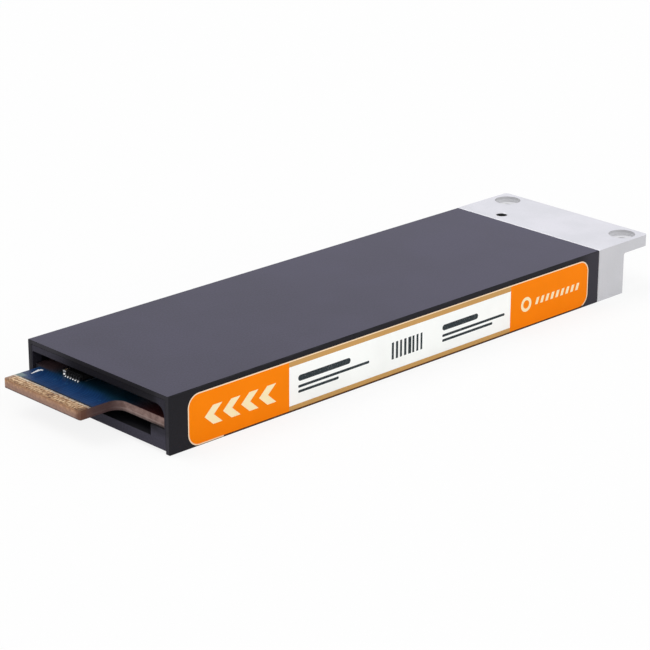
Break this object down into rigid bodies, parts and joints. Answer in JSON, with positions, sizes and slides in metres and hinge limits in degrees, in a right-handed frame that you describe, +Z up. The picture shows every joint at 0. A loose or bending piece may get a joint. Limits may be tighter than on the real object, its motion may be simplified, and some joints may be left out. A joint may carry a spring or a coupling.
{
  "type": "ruler ssd module",
  "caption": "Flat ruler-shaped solid-state drive: black channel cover over a tray, card edge in front, side label, and an aluminium end with a flange behind.",
  "frame": {"origin": "middle of the underside of the whole module", "axes": "+X along the module from the card edge to the flange, +Z up through the top cover, so the label faces -Y"},
  "size_m": [0.1188, 0.0338, 0.0095],
  "materials": {
    "black_anodised_cover": "fine-grained black anodising",
    "black_anodised_tray": "fine-grained black anodising",
    "bare_aluminium": "fine bead-blasted, clear anodised",
    "circuit_board": "blue solder mask over glass laminate",
    "gold_contacts": "gold plating",
    "chip_black": "matt mould compound",
    "crystal_metal": "plated lid",
    "capacitor_ceramic": "sintered, with tinned ends",
    "capacitor_amber": "moulded",
    "inductor_grey": "pressed powder",
    "led_lens": "clear moulding",
    "thermal_pad": "soft filled silicone",
    "screw_steel": "dark plated",
    "label_border": "satin film",
    "label_orange": "satin film",
    "label_tan": "satin film",
    "label_white": "satin film"
  },
  "bodies": {
    "root": {"base_tray": "black_anodised_tray", "bracket_screws": "screw_steel", "ceramic_capacitors": "capacitor_ceramic", "circuit_board": "circuit_board", "clock_crystal": "crystal_metal", "controller_chip": "chip_black", "controller_pad": "thermal_pad", "cover_screws": "screw_steel", "dram_chip_1": "chip_black", "dram_chip_2": "chip_black", "dram_pad": "thermal_pad", "edge_contacts_bottom": "gold_contacts", "edge_contacts_top": "gold_contacts", "flash_chip_1": "chip_black", "flash_chip_2": "chip_black", "flash_chip_3": "chip_black", "flash_chip_4": "chip_black", "flash_chip_5": "chip_black", "flash_chip_6": "chip_black", "flash_chip_7": "chip_black", "flash_chip_8": "chip_black", "flash_pad_bottom": "thermal_pad", "flash_pad_top": "thermal_pad", "hold_up_capacitor_1": "capacitor_amber", "hold_up_capacitor_2": "capacitor_amber", "hold_up_capacitor_3": "capacitor_amber", "hold_up_capacitor_4": "capacitor_amber", "hold_up_capacitor_5": "capacitor_amber", "hold_up_capacitor_6": "capacitor_amber", "label_end_fields": "label_orange", "label_panel": "label_white", "label_sheet": "label_border", "label_stripes": "label_tan", "latch_bracket": "bare_aluminium", "load_switch_chip": "chip_black", "power_inductor_1": "inductor_grey", "power_inductor_2": "inductor_grey", "power_inductor_3": "inductor_grey", "power_manager_chip": "chip_black", "status_led": "led_lens", "top_cover": "black_anodised_cover"}
  },
  "joints": []
}
